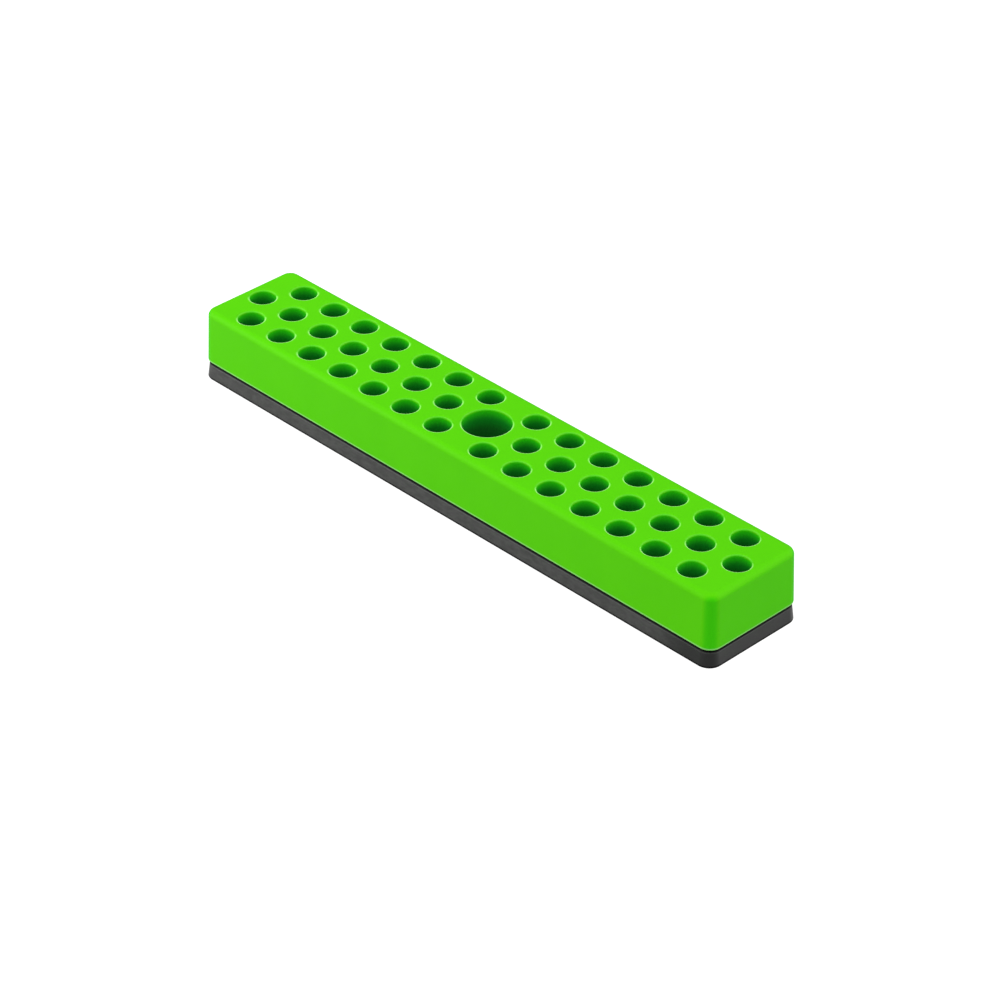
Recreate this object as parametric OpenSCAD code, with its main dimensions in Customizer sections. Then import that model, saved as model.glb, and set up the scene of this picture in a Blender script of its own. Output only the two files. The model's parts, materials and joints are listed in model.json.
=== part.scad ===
// Magnetic bit holder: a moulded block with three rows of upright holes, screwed to a
// low tray that holds a steel strip and a row of magnets. Millimetres, +Z up.
// The origin is on the surface that the tray stands on, under the middle of the block.

/* [Holes] */
// Distance between neighbouring holes of a row
hole_pitch = 12.7; // [12.5:0.1:14]
// Distance from the middle row to each outer row
row_spacing = 10; // [9.8:0.1:12]
// Distance between the two outer-row holes that stand either side of the middle
centre_gap = 17.5; // [17:0.1:20]
// Holes on each side of the middle, in every row
holes_per_side = 7; // [3:1:9]
// Diameter of a small hole, which takes a quarter inch hexagon bit
bit_hole_d = 7.5; // [7.4:0.05:7.9]
// Diameter of the large hole in the middle, which takes an adapter or a nut driver
adapter_hole_d = 13.8; // [11:0.1:14]
// Radius of the round on the rim of every hole
rim_round = 0.8; // [0.2:0.05:0.8]

/* [Block] */
// Height of the block
block_height = 16.7; // [13:0.1:22]
// From the centre of the middle row's last hole to the end of the block
end_margin = 7.3; // [7.3:0.1:12]
// From the centre line of an outer row to the side of the block
side_margin = 7; // [7:0.1:10]
// Lean of each long side, inwards over the height of the block
side_draft = 0.4; // [0.1:0.1:0.4]
// Lean of each end, inwards over the height of the block
end_draft = 0.7; // [0.4:0.1:0.7]
// Radius of the upright corners, at the lower edge
corner_r = 3.8; // [3.5:0.1:6]
// Radius of the round along the top edge
top_round = 2; // [1:0.1:2]
// Radius of the round along the lower edge
lower_round = 0.6; // [0.2:0.1:1]

/* [Tray] */
// Height of the tray's visible side
tray_side_height = 4.5; // [4:0.1:6]
// Height of the shadow gap between the tray's side and the block
shadow_gap = 0.9; // [0.4:0.1:1.2]
// How far the shoulder in the shadow gap stands in from the edge of the block
gap_depth = 1.2; // [0.8:0.1:1.4]
// How far the upper edge of the tray's side stands in from the edge of the block
tray_top_inset = 0.3; // [0:0.1:0.6]
// How far the widest part of the tray stands out from the edge of the block
tray_flare = 0.2; // [0:0.1:0.8]
// Radius of the round along the tray's lower edge
tray_lower_round = 0.4; // [0.2:0.1:1.6]
// Thickness of the rim that stands around the steel strip
tray_wall = 1.4; // [1:0.1:1.5]

/* [Steel and magnets] */
// Thickness of the steel strip that the bits stand on
strip_thickness = 0.8; // [0.6:0.1:1.2]
// Clearance on each side of the steel strip
strip_clearance = 0.2; // [0.1:0.05:0.3]
// Radius of the steel strip's corners
strip_corner_r = 1.5; // [0.5:0.1:2]
// Length of one magnet, along the holder
magnet_length = 20; // [15:0.5:24]
// Width of one magnet, across the holder
magnet_width = 15; // [10:0.5:16]
// Thickness of one magnet
magnet_thickness = 3; // [2:0.1:3.2]
// Clearance on each side of a magnet in its pocket
magnet_clearance = 0.2; // [0.1:0.05:0.3]
// Least distance between neighbouring magnets
magnet_least_gap = 2; // [1.5:0.1:4]

/* [Screws] */
// Diameter of a screw's thread, and of its pilot hole in the block
screw_d = 2.6; // [2.2:0.1:3]
// Depth of a screw's pilot hole in the block
pilot_depth = 9; // [6:0.5:11]
// Distance from the screw's tip to the end of its pilot hole
pilot_spare = 1; // [0.5:0.1:2]
// Radial clearance around a screw in the tray and the steel strip
screw_clearance = 0.2; // [0.1:0.05:0.3]
// Diameter of a screw's head
screw_head_d = 5; // [4.5:0.1:5.4]
// Height of a screw's head
screw_head_height = 1.4; // [1:0.1:1.6]
// Depth of the recess in the tray that a screw's head sits in
head_recess_depth = 2; // [1.7:0.1:2.4]
// Radial clearance around a screw's head in its recess
head_clearance = 0.4; // [0.2:0.1:0.5]
// Width of the slots of the cross recess in a screw's head
cross_width = 0.8; // [0.6:0.1:1]
// Length of the slots of the cross recess
cross_length = 3; // [2:0.1:3.4]
// Depth of the cross recess
cross_depth = 0.8; // [0.5:0.1:0.9]
// From the end of the block to the centre of a corner screw
screw_end_inset = 5.4; // [5:0.1:6]
// From the side of the block to the centre of a corner screw
screw_side_inset = 6; // [5.6:0.1:7]
// From the side of the block to the centre of a middle screw
middle_screw_inset = 5; // [4.8:0.1:5.5]

/* [Hidden] */
// Facets of a full circle, and of a round corner that is blended into straight sides
round_facets = 64;
corner_facets = 32;
// Straight steps along each rounded edge
round_steps = 6;
// How far a cutting shape runs past the face that it opens
cut = 1;

// Along the block, the outer rows and the middle row start at these distances from the middle
outer_start = centre_gap / 2;
middle_start = outer_start + hole_pitch / 2;
last_hole = middle_start + (holes_per_side - 1) * hole_pitch;

// Half sizes of the block at its lower edge
half_length = last_hole + end_margin;
half_width = row_spacing + side_margin;

// Share of a lean that is reached where the round along the top edge begins
lean_share = (block_height - top_round) / block_height;
// Half length at that height, were it not for the lean that the ends share with the sides
crown_half_length = half_length - (end_draft - side_draft) * lean_share;

// Heights above the surface that the tray stands on
block_bottom = tray_side_height + shadow_gap;
block_top = block_bottom + block_height;
strip_bottom = block_bottom - strip_thickness;
magnet_bottom = strip_bottom - magnet_thickness;

// Half sizes of the shoulder, of the recess for the strip and of the strip itself
shoulder_half_length = half_length - gap_depth;
shoulder_half_width = half_width - gap_depth;
recess_half_length = shoulder_half_length - tray_wall;
recess_half_width = shoulder_half_width - tray_wall;
strip_half_length = recess_half_length - strip_clearance;
strip_half_width = recess_half_width - strip_clearance;

// Screws: one in each corner, and two beside the large hole
head_recess_r = screw_head_d / 2 + head_clearance;
screw_hole_r = screw_d / 2 + screw_clearance;
corner_screw_x = half_length - screw_end_inset;
corner_screw_y = half_width - screw_side_inset;
middle_screw_y = half_width - middle_screw_inset;
screw_places = [
    for (sx = [-1, 1], sy = [-1, 1]) [sx * corner_screw_x, sy * corner_screw_y],
    for (sy = [-1, 1]) [0, sy * middle_screw_y]
];

// Magnets: as many as fit between the corner screws, evenly spread
magnet_span = 2 * (corner_screw_x - head_recess_r - magnet_clearance) - magnet_least_gap;
magnet_count = floor(magnet_span / (magnet_length + magnet_least_gap));
magnet_pitch = magnet_span / magnet_count;

// Places of the small holes: both outer rows, then the middle row
hole_places = [
    for (side = [-1, 1], k = [0:holes_per_side - 1], row = [-1, 1])
        [side * (outer_start + k * hole_pitch), row * row_spacing],
    for (side = [-1, 1], k = [0:holes_per_side - 1])
        [side * (middle_start + k * hole_pitch), 0]
];

// Points of a quarter round about [x, z], from angle a to angle a + 90
function quarter(x, z, r, a) =
    [for (i = [0:round_steps]) [x + r * cos(a + 90 * i / round_steps), z + r * sin(a + 90 * i / round_steps)]];

// A flat shape with round corners, centred on the origin
module round_rectangle(half_x, half_y, r) {
    square([2 * half_x, 2 * (half_y - r)], center = true);
    square([2 * (half_x - r), 2 * half_y], center = true);
    for (sx = [-1, 1], sy = [-1, 1])
        translate([sx * (half_x - r), sy * (half_y - r)])
            circle(r = r, $fn = corner_facets);
}

// Copies of an upright post in the four corners.
// r is the radius that the half sizes are measured to.
module four_corners(half_x, half_y, r) {
    for (sx = [-1, 1], sy = [-1, 1])
        translate([sx * (half_x - r), sy * (half_y - r), 0])
            children();
}

// The lower end of one corner of the block, with the round along the lower edge
module block_foot() {
    rotate_extrude($fn = corner_facets)
        polygon(concat(
            [[0, block_bottom]],
            quarter(corner_r - lower_round, block_bottom + lower_round, lower_round, -90),
            [[0, block_bottom + lower_round]]
        ));
}

// The upper end of one corner of the block, smaller by the lean, with the round along the top edge
module block_crown() {
    crown_r = corner_r - side_draft * lean_share;
    rotate_extrude($fn = corner_facets)
        polygon(concat(
            [[0, block_top - top_round]],
            quarter(crown_r - top_round, block_top - top_round, top_round, 0),
            [[0, block_top]]
        ));
}

// The block without its holes: the four corners' lower and upper ends, blended into one solid
module block_body() {
    hull() {
        four_corners(half_length, half_width, corner_r)
            block_foot();
        four_corners(crown_half_length, half_width, corner_r)
            block_crown();
    }
}

// A hole through the block with a rounded rim
module rimmed_hole(d) {
    translate([0, 0, block_bottom - cut])
        cylinder(d = d, h = block_height + 2 * cut, $fn = round_facets);
    translate([0, 0, block_top - rim_round])
        rotate_extrude($fn = round_facets)
            difference() {
                square([d / 2 + rim_round, rim_round + cut]);
                translate([d / 2 + rim_round, 0])
                    circle(r = rim_round, $fn = round_facets);
            }
}

module hole_block() {
    color([0.33, 0.8, 0.1])
        difference() {
            block_body();
            for (p = hole_places)
                translate(p)
                    rimmed_hole(bit_hole_d);
            rimmed_hole(adapter_hole_d);
            for (p = screw_places)
                translate([p.x, p.y, block_bottom - cut])
                    cylinder(d = screw_d, h = pilot_depth + cut, $fn = round_facets);
        }
}

// One corner of the tray's side: it flares downwards to a rounded lower edge
module tray_post() {
    wide_r = corner_r + tray_flare;
    rotate_extrude($fn = corner_facets)
        polygon(concat(
            [[0, 0]],
            quarter(wide_r - tray_lower_round, tray_lower_round, tray_lower_round, -90),
            [[corner_r - tray_top_inset, tray_side_height], [0, tray_side_height]]
        ));
}

module base_tray() {
    color([0.2, 0.2, 0.21])
        difference() {
            union() {
                hull()
                    four_corners(half_length, half_width, corner_r)
                        tray_post();
                translate([0, 0, tray_side_height - cut])
                    linear_extrude(shadow_gap + cut)
                        round_rectangle(shoulder_half_length, shoulder_half_width, corner_r - gap_depth);
            }
            translate([0, 0, strip_bottom])
                linear_extrude(strip_thickness + cut)
                    round_rectangle(recess_half_length, recess_half_width, strip_corner_r + strip_clearance);
            for (i = [1:magnet_count])
                magnet_shape(i, magnet_clearance, cut);
            for (p = screw_places)
                translate([p.x, p.y, -cut]) {
                    cylinder(r = head_recess_r, h = head_recess_depth + cut, $fn = round_facets);
                    cylinder(r = screw_hole_r, h = block_bottom + cut, $fn = round_facets);
                }
        }
}

module steel_strip() {
    color([0.62, 0.63, 0.65])
        translate([0, 0, strip_bottom])
            linear_extrude(strip_thickness)
                difference() {
                    round_rectangle(strip_half_length, strip_half_width, strip_corner_r);
                    for (p = screw_places)
                        translate(p)
                            circle(r = screw_hole_r, $fn = round_facets);
                }
}

// The block of space of one magnet, wider by spare on each side and taller by above
module magnet_shape(i, spare, above) {
    translate([(i - (magnet_count + 1) / 2) * magnet_pitch, 0, magnet_bottom + (magnet_thickness + above) / 2])
        cube([magnet_length + 2 * spare, magnet_width + 2 * spare, magnet_thickness + above], center = true);
}

module magnet(i) {
    color([0.25, 0.25, 0.27])
        magnet_shape(i, 0, 0);
}

// One screw with its head down, as it is driven from below
module base_screw() {
    head_top = head_recess_depth;
    head_bottom = head_top - screw_head_height;
    difference() {
        union() {
            translate([0, 0, head_bottom])
                cylinder(d = screw_head_d, h = screw_head_height, $fn = round_facets);
            translate([0, 0, head_bottom + screw_head_height / 2])
                cylinder(d = screw_d, h = block_bottom + pilot_depth - pilot_spare - head_bottom - screw_head_height / 2,
                         $fn = round_facets);
        }
        for (turn = [0, 90])
            rotate([0, 0, turn])
                translate([-cross_length / 2, -cross_width / 2, head_bottom - cut])
                    cube([cross_length, cross_width, cross_depth + cut]);
    }
}

module base_screws() {
    color([0.7, 0.7, 0.72])
        for (p = screw_places)
            translate(p)
                base_screw();
}

hole_block();
base_tray();
steel_strip();
base_screws();
for (i = [1:magnet_count])
    magnet(i);
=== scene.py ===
"""The magnetic bit holder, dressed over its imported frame: a green moulded block of upright
holes on a low dark tray, in a white studio. Lengths are in metres."""
import json
import math

import bpy
import numpy as np
from mathutils import Matrix, Vector
from mathutils.geometry import delaunay_2d_cdt


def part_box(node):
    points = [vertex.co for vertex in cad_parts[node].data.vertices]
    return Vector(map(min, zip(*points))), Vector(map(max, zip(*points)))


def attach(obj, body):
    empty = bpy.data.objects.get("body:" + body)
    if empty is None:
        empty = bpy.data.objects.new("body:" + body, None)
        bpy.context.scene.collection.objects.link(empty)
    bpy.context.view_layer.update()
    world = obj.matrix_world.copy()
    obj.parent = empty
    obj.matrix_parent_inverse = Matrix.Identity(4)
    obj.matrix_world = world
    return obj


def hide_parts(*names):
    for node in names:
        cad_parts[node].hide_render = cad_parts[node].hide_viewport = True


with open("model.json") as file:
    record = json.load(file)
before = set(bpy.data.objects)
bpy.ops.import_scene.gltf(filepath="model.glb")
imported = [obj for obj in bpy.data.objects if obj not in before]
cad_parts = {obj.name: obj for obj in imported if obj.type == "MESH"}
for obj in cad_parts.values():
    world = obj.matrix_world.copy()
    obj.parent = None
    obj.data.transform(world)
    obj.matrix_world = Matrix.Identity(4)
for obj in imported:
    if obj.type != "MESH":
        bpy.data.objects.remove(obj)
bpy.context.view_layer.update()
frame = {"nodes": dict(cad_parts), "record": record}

# The camera: a long lens that looks down across the near end of the holder. It is turned by
# under half a degree, as the photograph is.
eye = Vector((0.58704, -0.57515, 0.55293))
aim = Vector((0.02875, -0.02311, 0.02155))
turn = math.radians(0.444)
camera_data = bpy.data.cameras.new("camera")
camera_data.sensor_width = 36.0
camera_data.lens = 130.54
camera_data.clip_start = 0.05
camera_data.clip_end = 20.0
camera = bpy.data.objects.new("camera", camera_data)
pointing = (aim - eye).to_track_quat("-Z", "Y").to_matrix().to_4x4()
camera.matrix_world = Matrix.Translation(eye) @ pointing @ Matrix.Rotation(turn, 4, "Z")
bpy.context.scene.collection.objects.link(camera)
bpy.context.scene.camera = camera
bpy.context.scene.view_settings.view_transform = "Standard"


# The studio: a sheet of white paper under the holder, soft white light from a few broad patches
# of sky, and one large soft lamp. Each patch is the power of the cosine to its own heading.
def add_node(tree, kind, inputs=None, **settings):
    """Adds a node, sets its properties, and sets or links its inputs: a socket links, a value sets."""
    node = tree.nodes.new(kind)
    for name, value in settings.items():
        setattr(node, name, value)
    for name, value in (inputs or {}).items():
        if isinstance(value, bpy.types.NodeSocket):
            tree.links.new(value, node.inputs[name])
        else:
            node.inputs[name].default_value = value
    return node


floor_half = 3.0
floor_mesh = bpy.data.meshes.new("floor")
floor_corners = np.array([[-1, -1], [1, -1], [1, 1], [-1, 1]]) * floor_half
floor_mesh.from_pydata(np.column_stack([floor_corners, np.zeros(4)]).tolist(), [], [[0, 1, 2, 3]])
floor = bpy.data.objects.new("floor", floor_mesh)
bpy.context.scene.collection.objects.link(floor)
paper = bpy.data.materials.new("white_paper")
paper.use_nodes = True
paper_shader = paper.node_tree.nodes["Principled BSDF"]
paper_grey = 0.42
paper_glow = 0.8
paper_shader.inputs["Base Color"].default_value = (paper_grey, paper_grey, paper_grey, 1)
paper_shader.inputs["Roughness"].default_value = 0.9
paper_shader.inputs["Emission Color"].default_value = (1, 1, 1, 1)
camera_ray = add_node(paper.node_tree, "ShaderNodeLightPath").outputs["Is Camera Ray"]
lift = add_node(paper.node_tree, "ShaderNodeMath", {0: camera_ray, 1: paper_glow}, operation="MULTIPLY")
paper.node_tree.links.new(lift.outputs["Value"], paper_shader.inputs["Emission Strength"])
floor_mesh.materials.append(paper)

world = bpy.data.worlds.new("studio")
bpy.context.scene.world = world
world.use_nodes = True
sky = world.node_tree
background = sky.nodes["Background"]
direction = add_node(sky, "ShaderNodeTexCoord").outputs["Generated"]
lobes = [
    ((0, 0, 1), 2.0, 0.76),
    ((0.7, 0.7, 0.35), 4.0, 2.2),
    ((0, -1, 1), 6.0, 1.88),
    ((1, 0, 1), 6.0, 0.38),
]
glow = 0.0
for heading, sharpness, strength in lobes:
    heading = Vector(heading).normalized()
    facing = add_node(sky, "ShaderNodeVectorMath", {0: direction, 1: heading}, operation="DOT_PRODUCT")
    before = add_node(sky, "ShaderNodeMath", {0: facing.outputs["Value"], 1: 0.0}, operation="MAXIMUM")
    lobe = add_node(sky, "ShaderNodeMath", {0: before.outputs[0], 1: sharpness}, operation="POWER")
    terms = {0: lobe.outputs[0], 1: strength, 2: glow}
    glow = add_node(sky, "ShaderNodeMath", terms, operation="MULTIPLY_ADD").outputs[0]
sky.links.new(glow, background.inputs["Strength"])
background.inputs["Color"].default_value = (1, 1, 1, 1)

lamp_data = bpy.data.lights.new("softbox", "AREA")
lamp_data.shape = "RECTANGLE"
lamp_data.size = 0.5
lamp_data.size_y = 0.4
lamp_data.energy = 2.16
lamp_place = Vector((-0.45, -0.40, 0.22))
lamp = bpy.data.objects.new("softbox", lamp_data)
lamp_pointing = (-lamp_place).to_track_quat("-Z", "Y").to_matrix().to_4x4()
lamp.matrix_world = Matrix.Translation(lamp_place) @ lamp_pointing
bpy.context.scene.collection.objects.link(lamp)


# The block: one moulding in green plastic, with a rounded top edge, a slight lean for the
# mould, and holes that go right through it. Every hole has a small round on its rim.
MM = 0.001
edge_column, deep_column = 4, 5


def rounded_loop(half_x, half_y, radius, step=2.0 * MM, turns=12):
    """The centres and the directions of a rounded rectangle, anticlockwise seen from above.
    A point of the outline is centre + distance * direction, and the direction is its normal:
    along a side the centre slides, and at a corner the direction turns through a right angle."""
    x, y = half_x - radius, half_y - radius
    nx, ny = (max(2, int(np.ceil(2 * half / step))) for half in (x, y))
    angles = np.linspace(0, np.pi / 2, turns + 1)
    centres, headings = [], []
    for quarter, (start, end, count) in enumerate(
        [((x, -y), (x, y), ny), ((x, y), (-x, y), nx), ((-x, y), (-x, -y), ny), ((-x, -y), (x, -y), nx)]
    ):
        along = np.linspace(0, 1, count + 1)[:-1, None]
        centres += [np.array(start) * (1 - along) + np.array(end) * along, np.tile(end, (turns, 1))]
        headings += [np.full(count, quarter * np.pi / 2), quarter * np.pi / 2 + angles[:-1]]
    headings = np.concatenate(headings)
    return np.concatenate(centres), np.column_stack([np.cos(headings), np.sin(headings)])


def round_loop(x, y, count=64):
    """The centres and the directions of a circle about x, y."""
    headings = np.arange(count) * 2 * np.pi / count
    return np.tile((x, y), (count, 1)), np.column_stack([np.cos(headings), np.sin(headings)])


def arc(distance, height, radius, start, end, count=10, edge=0.0):
    """Profile rows along an arc about (distance, height), from one angle in degrees to another.
    A row is distance, height, the normal, which points away from the arc's centre, and two marks.
    The first mark is how much of an edge it is: it swells from nothing at both ends to its full
    value half way along. The second is nothing."""
    share = np.linspace(0, 1, count + 1)
    a = np.radians(start + (end - start) * share)
    across, up = np.cos(a), np.sin(a)
    swell = edge * np.sin(np.pi * share)
    return np.column_stack([distance + radius * across, height + radius * up, across, up, swell, 0 * a])


def straight(from_point, to_point, heading, count=1, deep=0.0):
    """Profile rows along a straight line, with the normal at the given angle in degrees. The edge
    mark is nothing. The second mark, deep, is 1 where hardly any light gets in."""
    points = np.linspace(from_point, to_point, count + 1)
    rest = (math.cos(math.radians(heading)), math.sin(math.radians(heading)), 0.0, deep)
    return np.column_stack([points, np.tile(rest, (count + 1, 1))])


def grid_quads(rows, columns):
    """The quads of a grid whose rows close into a ring."""
    i, j = np.meshgrid(np.arange(rows), np.arange(columns - 1), indexing="ij")
    after = (i + 1) % rows
    here, beside = i * columns + j, after * columns + j
    return np.stack([here, beside, beside + 1, here + 1], axis=2).reshape(-1, 4)


def tangent(low, high):
    """The angle in degrees of the outward normal of the line that touches two rounds of a profile.
    Each round is its centre's distance and height and its radius. The normal makes with the line
    of centres the angle whose cosine is the difference of the radii over the distance."""
    across, rise = high[0] - low[0], high[1] - low[1]
    spread = math.acos((low[2] - high[2]) / math.hypot(across, rise))
    return math.degrees(math.atan2(rise, across) - spread)


def carried(loop, profile):
    """A profile carried round a loop: point = centre + distance * direction, at the row's height.
    Gives the grid's points, normals and quads, and each point's two marks."""
    centres, directions = (part[:, None, :] for part in loop)
    distance, height, out, up = (profile[None, :, i, None] for i in range(4))
    flat = np.ones((len(loop[0]), 1, 1))
    points = np.concatenate([centres + distance * directions, height * flat], axis=2)
    normals = np.concatenate([out * directions, up * flat], axis=2)
    marks = np.tile(profile[:, 4:], (len(flat), 1))
    return points.reshape(-1, 3), normals.reshape(-1, 3), grid_quads(len(flat), len(profile)), marks


def land(loops, height, up):
    """The flat face at one height that lies inside the first outline and outside the others, in
    Delaunay triangles, which have no slivers between the points of a straight side. Each entry is
    a loop and the distance at which its outline runs; up is 1 or -1."""
    outlines = [centres + distance * directions for (centres, directions), distance in loops]
    points = np.concatenate(outlines)
    ends = np.cumsum([len(outline) for outline in outlines])
    rings = [list(range(end - len(outline), end)) for end, outline in zip(ends, outlines)]
    inside_with_holes = 2
    flat = [Vector(point) for point in (points / MM).tolist()]
    triangles = np.array(delaunay_2d_cdt(flat, [], rings, inside_with_holes, 1e-6)[2])
    points = np.column_stack([points, np.full(len(points), height)])
    return points, np.tile((0.0, 0.0, up), (len(points), 1)), triangles, np.zeros((len(points), 2))


def shell(name, sheets, material, slot, *nodes):
    """One piece from its sheets: corners that coincide are welded, every face is turned to agree
    with its own sheet's normals, and those exact normals shade it."""
    offsets = np.cumsum([0] + [len(sheet[0]) for sheet in sheets])
    points, normals, marks = (np.concatenate([sheet[k] for sheet in sheets]) for k in (0, 1, 3))
    corners, sizes = [], []
    for sheet, offset in zip(sheets, offsets):
        faces = sheet[2] + offset
        a, b, c, d = (points[faces[:, k]] for k in (0, 1, 2, -1))
        facing = np.cross(b - a, c - a) + np.cross(c - a, d - a)
        inward = np.einsum("ij,ij->i", facing, normals[faces].sum(axis=1)) < 0
        faces[inward] = faces[inward, ::-1]
        corners.append(faces.reshape(-1))
        sizes.append(np.full(len(faces), faces.shape[1]))
    corners, sizes = np.concatenate(corners), np.concatenate(sizes)
    weld_step = 0.002 * MM
    cells = np.round(points / weld_step).astype(np.int64)
    _, first, welded = np.unique(cells, axis=0, return_index=True, return_inverse=True)
    mesh = bpy.data.meshes.new(name)
    mesh.vertices.add(len(first))
    mesh.vertices.foreach_set("co", points[first].astype(np.float32).reshape(-1))
    mesh.loops.add(len(corners))
    mesh.loops.foreach_set("vertex_index", welded.reshape(-1)[corners].astype(np.int32))
    mesh.polygons.add(len(sizes))
    mesh.polygons.foreach_set("loop_start", (np.cumsum(sizes) - sizes).astype(np.int32))
    mesh.polygons.foreach_set("use_smooth", np.ones(len(sizes), bool))
    for k, mark in enumerate(("edge", "deep")):
        values = mesh.attributes.new(mark, "FLOAT", "POINT").data
        values.foreach_set("value", marks[first, k].astype(np.float32))
    mesh.update(calc_edges=True)
    mesh.normals_split_custom_set(normals[corners].tolist())
    mesh.materials.append(material)
    piece = bpy.data.objects.new(name, mesh)
    bpy.context.scene.collection.objects.link(piece)
    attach(piece, "root")
    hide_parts(*nodes)
    return piece


def new_group(name, inputs, outputs):
    """An empty node group with the named float inputs and their values, and the named outputs."""
    group = bpy.data.node_groups.new(name, "ShaderNodeTree")
    for socket, value in inputs.items():
        made = group.interface.new_socket(socket, in_out="INPUT", socket_type="NodeSocketFloat")
        made.default_value = value
    for socket, kind in outputs.items():
        group.interface.new_socket(socket, in_out="OUTPUT", socket_type=kind)
    return group, group.nodes.new("NodeGroupInput"), group.nodes.new("NodeGroupOutput")


def object_place(tree):
    """The object's own coordinates, in metres."""
    return add_node(tree, "ShaderNodeTexCoord").outputs["Object"]


def parts(tree, vector):
    """The three numbers of a vector, by the names X, Y and Z."""
    return add_node(tree, "ShaderNodeSeparateXYZ", {0: vector}).outputs


def facing_way(tree):
    """The three numbers of the surface's direction."""
    return parts(tree, add_node(tree, "ShaderNodeNewGeometry").outputs["Normal"])


def mark_value(tree, name):
    """A mark of the mesh, "edge" or "deep"."""
    return add_node(tree, "ShaderNodeAttribute", attribute_name=name).outputs["Fac"]


def mixed(tree, factor, low, high):
    """A colour that goes from low to high as the factor goes from 0 to 1."""
    mix = tree.nodes.new("ShaderNodeMix")
    mix.data_type = "RGBA"
    for socket, value in zip((mix.inputs[0], mix.inputs[6], mix.inputs[7]), (factor, low, high)):
        if isinstance(value, bpy.types.NodeSocket):
            tree.links.new(value, socket)
        else:
            socket.default_value = value
    return mix.outputs[2]


def figure(tree, operation, *values):
    """The output of a math node: a socket links, a value sets."""
    return add_node(tree, "ShaderNodeMath", dict(enumerate(values)), operation=operation).outputs[0]


def ramp(tree, value, low, high, to_low=0.0, to_high=1.0, kind="SMOOTHSTEP"):
    """A value that goes from one level to another as its input goes from low to high."""
    given = {"Value": value, "From Min": low, "From Max": high, "To Min": to_low, "To Max": to_high}
    return add_node(tree, "ShaderNodeMapRange", given, interpolation_type=kind).outputs["Result"]


def grained(tree, size):
    """The outputs of the shared grain at a size in metres."""
    group = add_node(tree, "ShaderNodeGroup", {}, node_tree=surface_grain)
    group.inputs["Size"].default_value = size
    return group.outputs


def dress(tree, shader, colour, roughness, strength, distance, height):
    """Links a colour and a roughness to the shader, and a bump: the height, from 0 to 1, times a
    distance tilts the normal by the strength."""
    given = {"Strength": strength, "Distance": distance, "Height": height}
    bump = add_node(tree, "ShaderNodeBump", given)
    tree.links.new(colour, shader.inputs["Base Color"])
    tree.links.new(roughness, shader.inputs["Roughness"])
    tree.links.new(bump.outputs["Normal"], shader.inputs["Normal"])


def grain_group():
    """Fine grain over slow unevenness. Grain is noise at a size given in metres, Cloud is noise
    eighty times as coarse, both from 0 to 1, and Height joins them for a bump."""
    group, given, result = new_group(
        "surface_grain",
        {"Size": 0.1 * MM, "Cloud Share": 0.3},
        {"Grain": "NodeSocketFloat", "Cloud": "NodeSocketFloat", "Height": "NodeSocketFloat"},
    )
    place = object_place(group)
    fineness = figure(group, "DIVIDE", 1.0, given.outputs["Size"])
    coarseness = figure(group, "DIVIDE", fineness, 80.0)
    fine = add_node(group, "ShaderNodeTexNoise", {"Vector": place, "Scale": fineness, "Detail": 3.0})
    slow = add_node(group, "ShaderNodeTexNoise", {"Vector": place, "Scale": coarseness, "Detail": 2.0})
    height = add_node(
        group,
        "ShaderNodeMix",
        {"Factor": given.outputs["Cloud Share"], "A": fine.outputs["Fac"], "B": slow.outputs["Fac"]},
    )
    group.links.new(fine.outputs["Fac"], result.inputs["Grain"])
    group.links.new(slow.outputs["Fac"], result.inputs["Cloud"])
    group.links.new(height.outputs["Result"], result.inputs["Height"])
    return group


surface_grain = grain_group()

block_low, block_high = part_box("hole_block")
holes = [m for m in frame["record"]["mounts"] if m["kind"] == "bore"]
bit_radius, adapter_radius = (pick(m["dims"]["r_mm"] for m in holes) * MM for pick in (min, max))
row_spacing = max(m["pos_m"][1] for m in holes)
hole_pitch = 12.7 * MM


def rim_group():
    """How far a point of the top is beyond the wall of its nearest hole. In each row the nearest
    hole is a whole number of pitches from the first, and the three rows are alike on both sides
    of the middle. Beyond is the least distance from an axis less that hole's radius."""
    group, _, result = new_group("rim_distance", {}, {"Beyond": "NodeSocketFloat"})
    place = parts(group, object_place(group))
    x, y = (figure(group, "ABSOLUTE", place[axis]) for axis in "XY")
    here = add_node(group, "ShaderNodeCombineXYZ", {"X": x, "Y": y}).outputs[0]
    middle = add_node(group, "ShaderNodeVectorMath", {0: here}, operation="LENGTH").outputs["Value"]
    nearest = figure(group, "SUBTRACT", middle, adapter_radius)
    for row in (row_spacing, 0.0):
        places = [m["pos_m"][0] for m in holes if abs(m["pos_m"][1] - row) < MM < m["pos_m"][0]]
        first, last = min(places), len(places) - 1.0
        steps = figure(group, "DIVIDE", figure(group, "SUBTRACT", x, first), hole_pitch)
        steps = figure(group, "MINIMUM", figure(group, "ROUND", steps), last)
        along = figure(group, "MULTIPLY_ADD", figure(group, "MAXIMUM", steps, 0.0), hole_pitch, first)
        axis = add_node(group, "ShaderNodeCombineXYZ", {"X": along, "Y": row}).outputs[0]
        reach = add_node(group, "ShaderNodeVectorMath", {0: here, 1: axis}, operation="DISTANCE")
        reach = figure(group, "SUBTRACT", reach.outputs["Value"], bit_radius)
        nearest = figure(group, "MINIMUM", nearest, reach)
    group.links.new(nearest, result.inputs["Beyond"])
    return group


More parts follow.
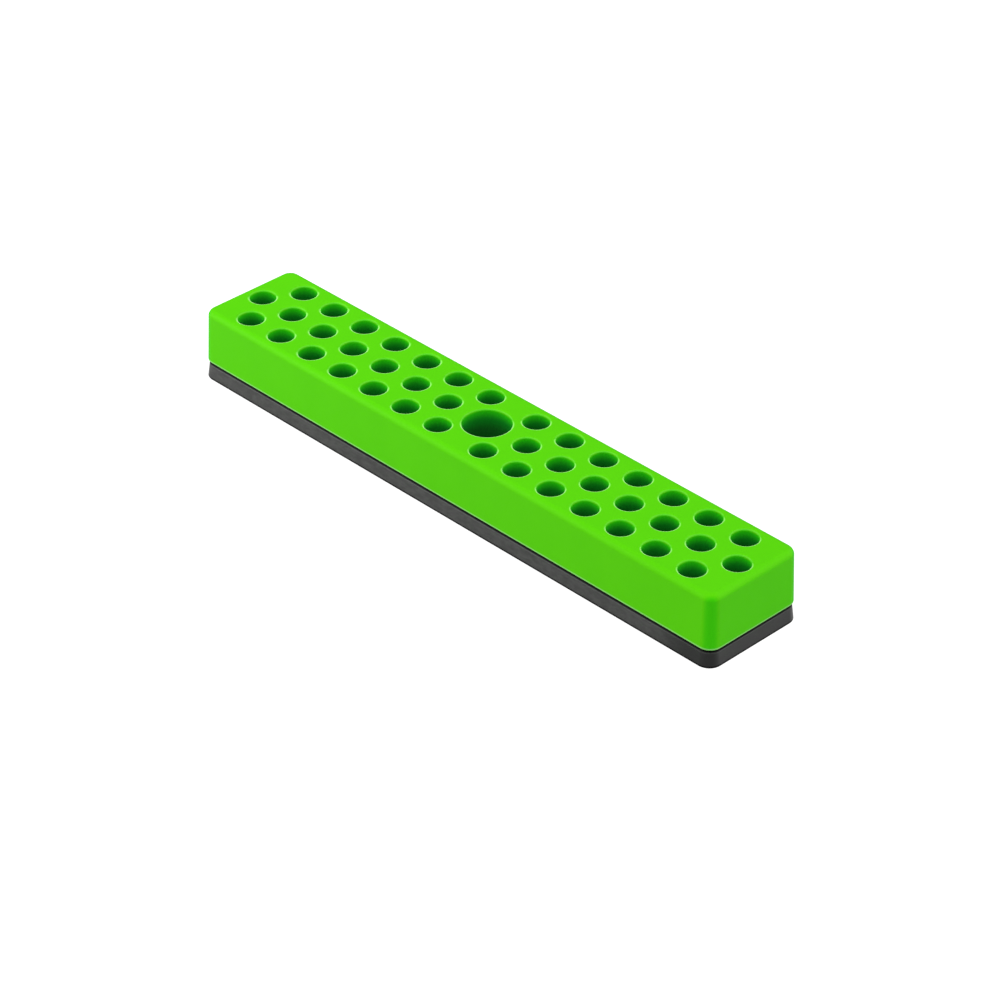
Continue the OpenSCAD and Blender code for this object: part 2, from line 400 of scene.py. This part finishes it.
green_plastic = bpy.data.materials.new("green_plastic")
green_plastic.use_nodes = True
tree = green_plastic.node_tree
green_shader = tree.nodes["Principled BSDF"]
leaf_green = (0.086, 0.585, 0.002, 1)
fresh_green = (0.096, 0.615, 0.003, 1)
corner_shade_green = (0.045, 0.60, 0.003, 1)
wall_green = (0.024, 0.60, 0.003, 1)
shade_green = (0.006, 0.24, 0.016, 1)
deep_shade_green = (0.009, 0.15, 0.016, 1)
lower_edge_highlight_green = (0.42, 0.84, 0.30, 1)
rim_highlight_green = (0.28, 0.90, 0.12, 1)
rim_glint_green = (0.62, 0.96, 0.48, 1)
grain = grained(tree, 0.12 * MM)
depth = figure(tree, "SUBTRACT", block_high.z, parts(tree, object_place(tree))["Z"])
skin_colour = mixed(tree, grain["Cloud"], leaf_green, fresh_green)
# Painted shade: the upright corners, and a quarter as much the ends, go towards a deeper green by the way
# they face.
way = facing_way(tree)
turned = figure(tree, "ABSOLUTE", figure(tree, "MULTIPLY", way["X"], way["Y"]))
endways = figure(tree, "MULTIPLY", ramp(tree, figure(tree, "ABSOLUTE", way["X"]), 0.85, 1.0), 0.25)
shaded = figure(tree, "MAXIMUM", ramp(tree, turned, 0.05, 0.5), endways)
skin_colour = mixed(tree, shaded, skin_colour, corner_shade_green)

# Painted shade: a hole's wall darkens downwards, from just below the top.
bore_colour = mixed(tree, ramp(tree, depth, 0.2 * MM, 4.0 * MM), wall_green, shade_green)
bore_colour = mixed(tree, ramp(tree, depth, 3.5 * MM, 7.0 * MM), bore_colour, deep_shade_green)
inside = figure(tree, "MULTIPLY", mark_value(tree, "deep"), ramp(tree, depth, 0.5 * MM, 1.2 * MM))
body_colour = mixed(tree, inside, skin_colour, bore_colour)

# A painted highlight runs round each hole as a thin pale line: full where the rim turns away from
# the eye, faint where it faces it, and whiter where it is seen most nearly edge-on. It ends at the
# flat top and above the wall.
beyond = add_node(tree, "ShaderNodeGroup", {}, node_tree=rim_group()).outputs["Beyond"]
slant = add_node(tree, "ShaderNodeLayerWeight", {"Blend": 0.5}).outputs["Facing"]
turning = figure(tree, "MULTIPLY", ramp(tree, slant, 0.47, 0.62), ramp(tree, beyond, 0.05 * MM, 0.15 * MM))
fading = ramp(tree, beyond, 0.2 * MM, 0.4 * MM, 0.2, 0.0)
band = figure(tree, "MULTIPLY", ramp(tree, beyond, 0, 0.1 * MM), fading)
near_hole = ramp(tree, beyond, 0.8 * MM, 1.0 * MM, 1.0, 0.0)
near_top = ramp(tree, depth, 0.75 * MM, 0.9 * MM, 1.0, 0.0)
near_rim = figure(tree, "MULTIPLY", near_hole, near_top)
ring = figure(tree, "MULTIPLY", figure(tree, "MAXIMUM", turning, band), near_rim)
rim_highlight_colour = mixed(tree, ramp(tree, slant, 0.66, 0.84), rim_highlight_green, rim_glint_green)
body_colour = mixed(tree, ring, body_colour, rim_highlight_colour)
# Painted highlight along the block's lower edge, where the edge mark is.
body_colour = mixed(tree, mark_value(tree, "edge"), body_colour, lower_edge_highlight_green)
rough = ramp(tree, grain["Cloud"], 0.0, 1.0, 0.38, 0.46)
dress(tree, green_shader, body_colour, rough, 0.12, 0.02 * MM, grain["Height"])
green_shader.inputs["IOR"].default_value = 1.22
green_shader.inputs["Specular Tint"].default_value = (0.6, 1.0, 0.1, 1)

hole_radii = [m["dims"]["r_mm"] * MM for m in holes]
facets = [96 if radius > bit_radius else 64 for radius in hole_radii]
hole_loops = [round_loop(*m["pos_m"][:2], count) for m, count in zip(holes, facets)]
corner = 3.8 * MM
draft = 0.4 * MM
end_draft = 0.7 * MM
top_round = 2.0 * MM
lower_round = 0.6 * MM
rim = 0.8 * MM
low_centre = (corner - lower_round, block_low.z + lower_round, lower_round)
high_centre = (corner - draft - top_round, block_high.z - top_round, top_round)
lean = tangent(low_centre, high_centre)
lower_edge = arc(*low_centre, -90, lean, 6)
top_edge = arc(*high_centre, lean, 90, 14)
side = straight(lower_edge[-1, :2], top_edge[0, :2], lean, 6)
outline = rounded_loop(block_high.x, block_high.y, corner)

# The ends lean more than the long sides, so the outline shifts inwards with the height.
crown_shift = (end_draft - draft) * (high_centre[1] - block_low.z) / (block_high.z - block_low.z)
crown_outline = outline[0] - crown_shift * np.sign(outline[0]) * (1, 0), outline[1]

# The upper half of the lower round is paler, as a painted highlight. That ends a fiftieth of the side's
# height above it.
lower_highlight_strength = 0.55
lower_edge[3:, edge_column] = lower_highlight_strength
fringe = straight(lower_edge[-1, :2], top_edge[0, :2], lean, 50)[1:2]
body = carried(outline, np.concatenate([lower_edge, fringe, side[1:-1], top_edge]))
rise = np.clip((body[0][:, 2] - low_centre[1]) / (high_centre[1] - low_centre[1]), 0, 1)
body[0][:, 0] -= crown_shift * np.sign(body[0][:, 0]) * rise
block_sheets = [body]

# The deep mark starts on the round of the rim: it rises from nothing to 1 between two angles.
rim_steps = 9
rim_turn = np.linspace(0, 90, rim_steps + 1)
deep_from, deep_full = 40, 60
wall_start = block_high.z - rim - 0.3 * MM
for loop, radius in zip(hole_loops, hole_radii):
    rim_round = arc(radius + rim, block_high.z - rim, rim, 90, 180, rim_steps)
    rim_round[:, deep_column] = np.clip((rim_turn - deep_from) / (deep_full - deep_from), 0, 1)
    wall_top, wall_foot = (radius, wall_start), (radius, block_low.z)
    wall = straight(wall_top, wall_foot, 180, 5, deep=1.0)
    block_sheets.append(carried(loop, np.concatenate([rim_round, wall])))
holes_in_top = [(loop, radius + rim) for loop, radius in zip(hole_loops, hole_radii)]
block_sheets.append(land([(crown_outline, high_centre[0])] + holes_in_top, block_high.z, 1))
corner_screw = 93.2 * MM, 11.0 * MM
middle_screw_y = 12.0 * MM
screw_places = [(sx * corner_screw[0], sy * corner_screw[1]) for sx in (-1, 1) for sy in (-1, 1)]
screw_places += [(0, sy * middle_screw_y) for sy in (-1, 1)]
screw_loops = [round_loop(x, y, 32) for x, y in screw_places]
pilot_radius = 1.3 * MM
pilot_depth = 9.0 * MM
holes_in_bottom = list(zip(hole_loops, hole_radii)) + [(loop, pilot_radius) for loop in screw_loops]
block_sheets.append(land([(outline, low_centre[0])] + holes_in_bottom, block_low.z, -1))
pilot_top = block_low.z + pilot_depth
for loop in screw_loops:
    pilot_wall = straight((pilot_radius, block_low.z), (pilot_radius, pilot_top), 180, 2)
    block_sheets.append(carried(loop, pilot_wall))
    block_sheets.append(land([(loop, pilot_radius)], pilot_top, -1))
shell("block", block_sheets, green_plastic, "green_plastic", "hole_block")

# The tray: a shallow moulding in dark rubbery plastic that widens towards the surface it stands
# on. Its shoulder carries the block with a thin shadow gap, and a recess in it takes the steel
# strip, with a square pocket for each magnet and six screw holes. It is scuffed along its sides.
# Light and shade are painted on it: its long sides are lighter than its ends, its rounded corners
# and the last stretch of its sides towards the +X end go near black, a pale highlight runs along
# its upper edge, and its foot and the gap are painted near black and dull: they carry the deep mark.
tray_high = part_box("base_tray")[1]
strip_low, strip_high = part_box("steel_strip")

dark_plastic = bpy.data.materials.new("dark_plastic")
dark_plastic.use_nodes = True
tree = dark_plastic.node_tree
tray_shader = tree.nodes["Principled BSDF"]
grain = grained(tree, 0.22 * MM)
end_shade_grey = (0.0135, 0.0128, 0.0134, 1)
side_grey = (0.030, 0.0295, 0.0295, 1)
scuffed_grey = (0.050, 0.0492, 0.0490, 1)
corner_shade_black = (0.001, 0.001, 0.001, 1)
foot_and_gap_shade = (0.001, 0.001, 0.001, 1)
brow_highlight_grey = (0.12, 0.115, 0.115, 1)
foot_and_gap_shade_mark = mark_value(tree, "deep")
place = object_place(tree)
stretched = add_node(tree, "ShaderNodeMapping", {"Vector": place, "Scale": (0.5, 0.5, 1)}).outputs[0]
scuff_settings = {"Vector": stretched, "Scale": 700.0, "Detail": 4.0, "Roughness": 0.6}
scuffs = add_node(tree, "ShaderNodeTexNoise", scuff_settings)
way = facing_way(tree)
along_side = figure(tree, "ABSOLUTE", way["Y"])
turned = figure(tree, "ABSOLUTE", figure(tree, "MULTIPLY", way["X"], way["Y"]))
scuffs_and_lit_side_grey = mixed(tree, ramp(tree, scuffs.outputs["Fac"], 0.35, 0.65), side_grey, scuffed_grey)
# Painted shade: the sides darken to near black over their last stretch towards the +X end.
shade_towards_end = ramp(tree, parts(tree, place)["X"], 76 * MM, 91 * MM)
scuffs_and_lit_side_grey = mixed(tree, shade_towards_end, scuffs_and_lit_side_grey, corner_shade_black)
# Painted light and shade by the way a face turns: the long sides are lighter than the ends, and the rounded
# corners near black.
tray_colour = mixed(tree, ramp(tree, along_side, 0.3, 1.0), end_shade_grey, scuffs_and_lit_side_grey)
tray_colour = mixed(tree, ramp(tree, turned, 0.03, 0.4), tray_colour, corner_shade_black)
# Painted shade: the foot and the shadow gap, which carry the deep mark, are near black.
tray_colour = mixed(tree, foot_and_gap_shade_mark, tray_colour, foot_and_gap_shade)
# Painted highlight: a pale line along the brow, where its edge mark is.
tray_colour = mixed(tree, mark_value(tree, "edge"), tray_colour, brow_highlight_grey)
rough = ramp(tree, grain["Grain"], 0.0, 1.0, 0.3, 0.46, "LINEAR")
dress(tree, tray_shader, tray_colour, rough, 0.3, 0.05 * MM, grain["Height"])
tree.links.new(ramp(tree, foot_and_gap_shade_mark, 0.0, 1.0, 0.5, 0.0), tray_shader.inputs["Sheen Weight"])
tree.links.new(ramp(tree, foot_and_gap_shade_mark, 0.0, 1.0, 0.5, 0.15), tray_shader.inputs["Specular IOR Level"])
tray_shader.inputs["Sheen Roughness"].default_value = 0.4

tray_side_height = 4.5 * MM
tray_flare = 0.2 * MM
tray_top_inset = 0.3 * MM
tray_round = 0.4 * MM
tray_edge = 0.25 * MM
gap_depth = 1.2 * MM
foot_centre = (corner + tray_flare - tray_round, tray_round, tray_round)
brow_centre = (corner - tray_top_inset - tray_edge, tray_side_height - tray_edge, tray_edge)
flare = tangent(foot_centre, brow_centre)
tray_outline = rounded_loop(tray_high.x - tray_flare, tray_high.y - tray_flare, corner)
foot = arc(*foot_centre, -90, flare, 8)
# The foot's round, and below it the ledge and the shoulder, carry the deep mark, which paints them near
# black as shade.
foot[1:, deep_column] = 1.0
brow = arc(*brow_centre, flare, 90, 4, edge=0.06)
outside = np.concatenate([foot, straight(foot[-1, :2], brow[0, :2], flare, 8)[1:-1], brow])
ledge = straight((brow[-1, 0], tray_side_height), (corner - gap_depth, tray_side_height), 90, deep=1.0)
shoulder = straight((corner - gap_depth, tray_side_height), (corner - gap_depth, tray_high.z), 0, deep=1.0)
tray_sheets = [carried(tray_outline, part) for part in (outside, ledge, shoulder)]

strip_corner = 1.5 * MM
strip_clearance = 0.2 * MM
reach = strip_corner + strip_clearance
recess = rounded_loop(strip_high.x + strip_clearance, strip_high.y + strip_clearance, reach)
tray_sheets.append(land([(tray_outline, corner - gap_depth), (recess, reach)], tray_high.z, 1))
tray_sheets.append(carried(recess, straight((reach, tray_high.z), (reach, strip_low.z), 180)))


def moved(loop, x, y):
    """A loop carried to another place."""
    return loop[0] + np.array((x, y)), loop[1]


magnet_names = sorted(node for node in frame["nodes"] if node.startswith("magnet_"))
magnet_boxes = [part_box(name) for name in magnet_names]
magnet_clearance = 0.2 * MM
pocket_corner = 0.3 * MM
magnet_floor = magnet_boxes[0][0].z
pockets = []
for low, high in magnet_boxes:
    half = (high - low) / 2
    pocket = rounded_loop(half.x + magnet_clearance, half.y + magnet_clearance, pocket_corner, 5 * MM, 3)
    pockets.append((moved(pocket, low.x + half.x, low.y + half.y), pocket_corner))
screw_hole = 1.5 * MM
head_recess = 2.9 * MM
recess_depth = 2.0 * MM
screw_holes = [(loop, screw_hole) for loop in screw_loops]
head_recesses = [(loop, head_recess) for loop in screw_loops]
tray_sheets.append(land([(recess, reach)] + pockets + screw_holes, strip_low.z, 1))
for loop, edge_reach in pockets:
    tray_sheets.append(carried(loop, straight((edge_reach, strip_low.z), (edge_reach, magnet_floor), 180)))
    tray_sheets.append(land([(loop, edge_reach)], magnet_floor, 1))
for loop in screw_loops:
    tray_sheets.append(carried(loop, straight((screw_hole, strip_low.z), (screw_hole, recess_depth), 180)))
    tray_sheets.append(land([(loop, head_recess), (loop, screw_hole)], recess_depth, -1))
    tray_sheets.append(carried(loop, straight((head_recess, recess_depth), (head_recess, 0.0), 180)))
tray_sheets.append(land([(tray_outline, foot_centre[0])] + head_recesses, 0.0, -1))
shell("tray", tray_sheets, dark_plastic, "tray_plastic", "base_tray")

# The steel strip: a thin plated plate with broken edges, which closes the holes from below and
# carries the magnets' pull to every bit. It has six clearance holes for the screws.
plated_steel = bpy.data.materials.new("plated_steel")
plated_steel.use_nodes = True
tree = plated_steel.node_tree
steel_shader = tree.nodes["Principled BSDF"]
steel_shader.inputs["Metallic"].default_value = 1.0
grain = grained(tree, 0.3 * MM)
drawn_out = {"Vector": object_place(tree), "Scale": (0.03, 1, 1)}
along_rolling = add_node(tree, "ShaderNodeMapping", drawn_out).outputs[0]
rolling_settings = {"Vector": along_rolling, "Scale": 6000.0, "Detail": 3.0}
rolling = add_node(tree, "ShaderNodeTexNoise", rolling_settings).outputs["Fac"]
bright_zinc = (0.66, 0.67, 0.69, 1)
dull_zinc = (0.46, 0.48, 0.50, 1)
bare_edge = (0.72, 0.71, 0.69, 1)
zinc_colour = mixed(tree, grain["Cloud"], bright_zinc, dull_zinc)
zinc_colour = mixed(tree, mark_value(tree, "edge"), zinc_colour, bare_edge)
rough = ramp(tree, rolling, 0.3, 0.7, 0.26, 0.48, "LINEAR")
dress(tree, steel_shader, zinc_colour, rough, 0.25, 0.01 * MM, rolling)

strip_edge = 0.12 * MM
strip_outline = rounded_loop(strip_high.x, strip_high.y, strip_corner)
strip_side = strip_corner - strip_edge
under = arc(strip_side, strip_low.z + strip_edge, strip_edge, -90, 0, 4, edge=1.0)
over = arc(strip_side, strip_high.z - strip_edge, strip_edge, 0, 90, 4, edge=1.0)
strip_sheets = [carried(strip_outline, np.concatenate([under, over]))]
for height, up in ((strip_low.z, -1), (strip_high.z, 1)):
    strip_sheets.append(land([(strip_outline, strip_side)] + screw_holes, height, up))
for loop in screw_loops:
    strip_sheets.append(carried(loop, straight((screw_hole, strip_high.z), (screw_hole, strip_low.z), 180)))
shell("strip", strip_sheets, plated_steel, "strip_steel", "steel_strip")

# The magnets: eight pressed and ground blocks of dark ferrite with softly broken edges, in a
# row under the strip. They are alike, so one outline is carried to each place.
ferrite = bpy.data.materials.new("ferrite")
ferrite.use_nodes = True
tree = ferrite.node_tree
ferrite_shader = tree.nodes["Principled BSDF"]
grain = grained(tree, 0.08 * MM)
iron_black = (0.030, 0.030, 0.033, 1)
iron_grey = (0.085, 0.083, 0.082, 1)
ground_grey = (0.16, 0.155, 0.15, 1)
ferrite_colour = mixed(tree, grain["Grain"], iron_black, iron_grey)
ferrite_colour = mixed(tree, mark_value(tree, "edge"), ferrite_colour, ground_grey)
rough = ramp(tree, grain["Cloud"], 0.0, 1.0, 0.38, 0.62, "LINEAR")
dress(tree, ferrite_shader, ferrite_colour, rough, 0.35, 0.03 * MM, grain["Grain"])

magnet_edge = 0.3 * MM
magnet_corner = 0.45 * MM
side_reach = magnet_corner - magnet_edge
for name, (low, high) in zip(magnet_names, magnet_boxes):
    half = (high - low) / 2
    centred = rounded_loop(half.x, half.y, magnet_corner, 5 * MM, 4)
    magnet_outline = moved(centred, low.x + half.x, low.y + half.y)
    under = arc(side_reach, low.z + magnet_edge, magnet_edge, -90, 0, 5, edge=0.6)
    over = arc(side_reach, high.z - magnet_edge, magnet_edge, 0, 90, 5, edge=0.6)
    sheets = [carried(magnet_outline, np.concatenate([under, over]))]
    sheets += [land([(magnet_outline, side_reach)], z, up) for z, up in ((low.z, -1), (high.z, 1))]
    shell(f"ferrite_{name[-1]}", sheets, ferrite, "magnet_ferrite", name)

# The screws: six pan-headed self-tapping screws, heads down in their recesses. Each has a
# tapered cross recess in its head and a rolled thread that runs out towards both ends.
screw_low, screw_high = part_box("base_screws")

screw_steel = bpy.data.materials.new("screw_steel")
screw_steel.use_nodes = True
tree = screw_steel.node_tree
screw_shader = tree.nodes["Principled BSDF"]
screw_shader.inputs["Metallic"].default_value = 1.0
grain = grained(tree, 0.05 * MM)
blue_zinc = (0.60, 0.62, 0.66, 1)
grey_zinc = (0.42, 0.43, 0.45, 1)
screw_colour = mixed(tree, grain["Cloud"], blue_zinc, grey_zinc)
screw_colour = mixed(tree, mark_value(tree, "edge"), screw_colour, bare_edge)
rough = ramp(tree, grain["Grain"], 0.0, 1.0, 0.22, 0.42, "LINEAR")
dress(tree, screw_shader, screw_colour, rough, 0.15, 0.01 * MM, grain["Height"])


def threaded(x, y, low, high, core, crest, pitch, tip_share, turns=32, steps=12):
    """A screw's shank: radius = core + ridge * fade, carried round its axis. The ridge rises and
    falls once a pitch and climbs one pitch a turn; the fade is full in the middle and nothing at
    both ends. The last two pitches taper to the tip's share of the radius."""
    rows = int(np.ceil((high - low) / pitch * steps))
    z = np.linspace(low, high, rows + 1)[None, :]
    heading = (np.arange(turns) * 2 * np.pi / turns)[:, None]
    phase = ((z - low) / pitch - heading / (2 * np.pi)) % 1
    ridge = (crest - core) * np.clip(1 - np.abs(phase - 0.5) / 0.35, 0, 1)
    fade = np.clip((z - low) / pitch, 0, 1) * np.clip((high - z) / pitch, 0, 1)
    taper = np.clip((high - z) / (2 * pitch), 0.0, 1) ** 0.7 * (1 - tip_share) + tip_share
    radius = (core + ridge * fade) * taper
    out = np.cos(heading) * np.ones_like(z), np.sin(heading) * np.ones_like(z)
    points = np.stack([x + radius * out[0], y + radius * out[1], z * np.ones_like(heading)], axis=2)
    around = np.roll(points, -1, axis=0) - np.roll(points, 1, axis=0)
    along = np.gradient(points, axis=1)
    normals = np.cross(around, along)
    normals /= np.linalg.norm(normals, axis=2, keepdims=True)
    marks = np.stack([ridge * fade / (crest - core), np.zeros_like(radius)], axis=2)
    return points.reshape(-1, 3), normals.reshape(-1, 3), grid_quads(turns, rows + 1), marks.reshape(-1, 2)


def cross_outline(x, y, long, wide):
    """The twelve corners of a plus shape about x, y, anticlockwise seen from above. Its arms reach
    out by long and are twice as broad as wide."""
    half = np.array([(long, -wide), (long, wide), (wide, wide), (wide, long), (-wide, long), (-wide, wide)])
    return np.concatenate([half, -half]) + np.array((x, y))


def cross_walls(mouth, mouth_height, floor, floor_height):
    """The flat walls between two plus shapes, each with its own normal towards the opening."""
    points, normals, quads = [], [], []
    for k in range(len(mouth)):
        a, b = mouth[k], mouth[(k + 1) % len(mouth)]
        c, d = floor[(k + 1) % len(mouth)], floor[k]
        wall = np.array([(*a, mouth_height), (*b, mouth_height), (*c, floor_height), (*d, floor_height)])
        normal = np.cross(wall[1] - wall[0], wall[3] - wall[0])
        inward = np.array((-(b - a)[1], (b - a)[0], 0))
        normal *= np.sign(normal @ inward) / np.linalg.norm(normal)
        quads.append(np.arange(4) + 4 * k)
        points.append(wall)
        normals.append(np.tile(normal, (4, 1)))
    points = np.concatenate(points)
    return points, np.concatenate(normals), np.array(quads), np.zeros((len(points), 2))


head_radius = 2.5 * MM
head_round = 0.9 * MM
head_land = head_radius - head_round
head_foot = screw_low.z
head_seat = recess_depth
shank_core = 0.95 * MM
shank_crest = 1.28 * MM
thread_pitch = 1.0 * MM
cross_mouth = 1.5 * MM, 0.4 * MM
cross_pit = 0.8 * MM, 0.25 * MM
cross_depth = 0.8 * MM
tip = screw_high.z
tip_share = 0.1
screw_sheets = []
for (x, y), loop in zip(screw_places, screw_loops):
    dome = arc(head_land, head_foot + head_round, head_round, -90, 0, 6, edge=0.3)
    side = straight((head_radius, head_foot + head_round), (head_radius, head_seat), 0)
    screw_sheets += [carried(loop, dome), carried(loop, side)]
    screw_sheets.append(land([(loop, head_radius), (loop, shank_core)], head_seat, 1))
    mouth = cross_outline(x, y, *cross_mouth)
    pit = cross_outline(x, y, *cross_pit)
    still = np.zeros_like(mouth)
    screw_sheets.append(land([(loop, head_land), ((mouth, still), 0.0)], head_foot, -1))
    screw_sheets.append(cross_walls(mouth, head_foot, pit, head_foot + cross_depth))
    screw_sheets.append(land([((pit, still), 0.0)], head_foot + cross_depth, -1))
    screw_sheets.append(threaded(x, y, head_seat, tip, shank_core, shank_crest, thread_pitch, tip_share))
    screw_sheets.append(land([(loop, shank_core * tip_share)], tip, 1))
shell("screws", screw_sheets, screw_steel, "screw_steel", "base_screws")
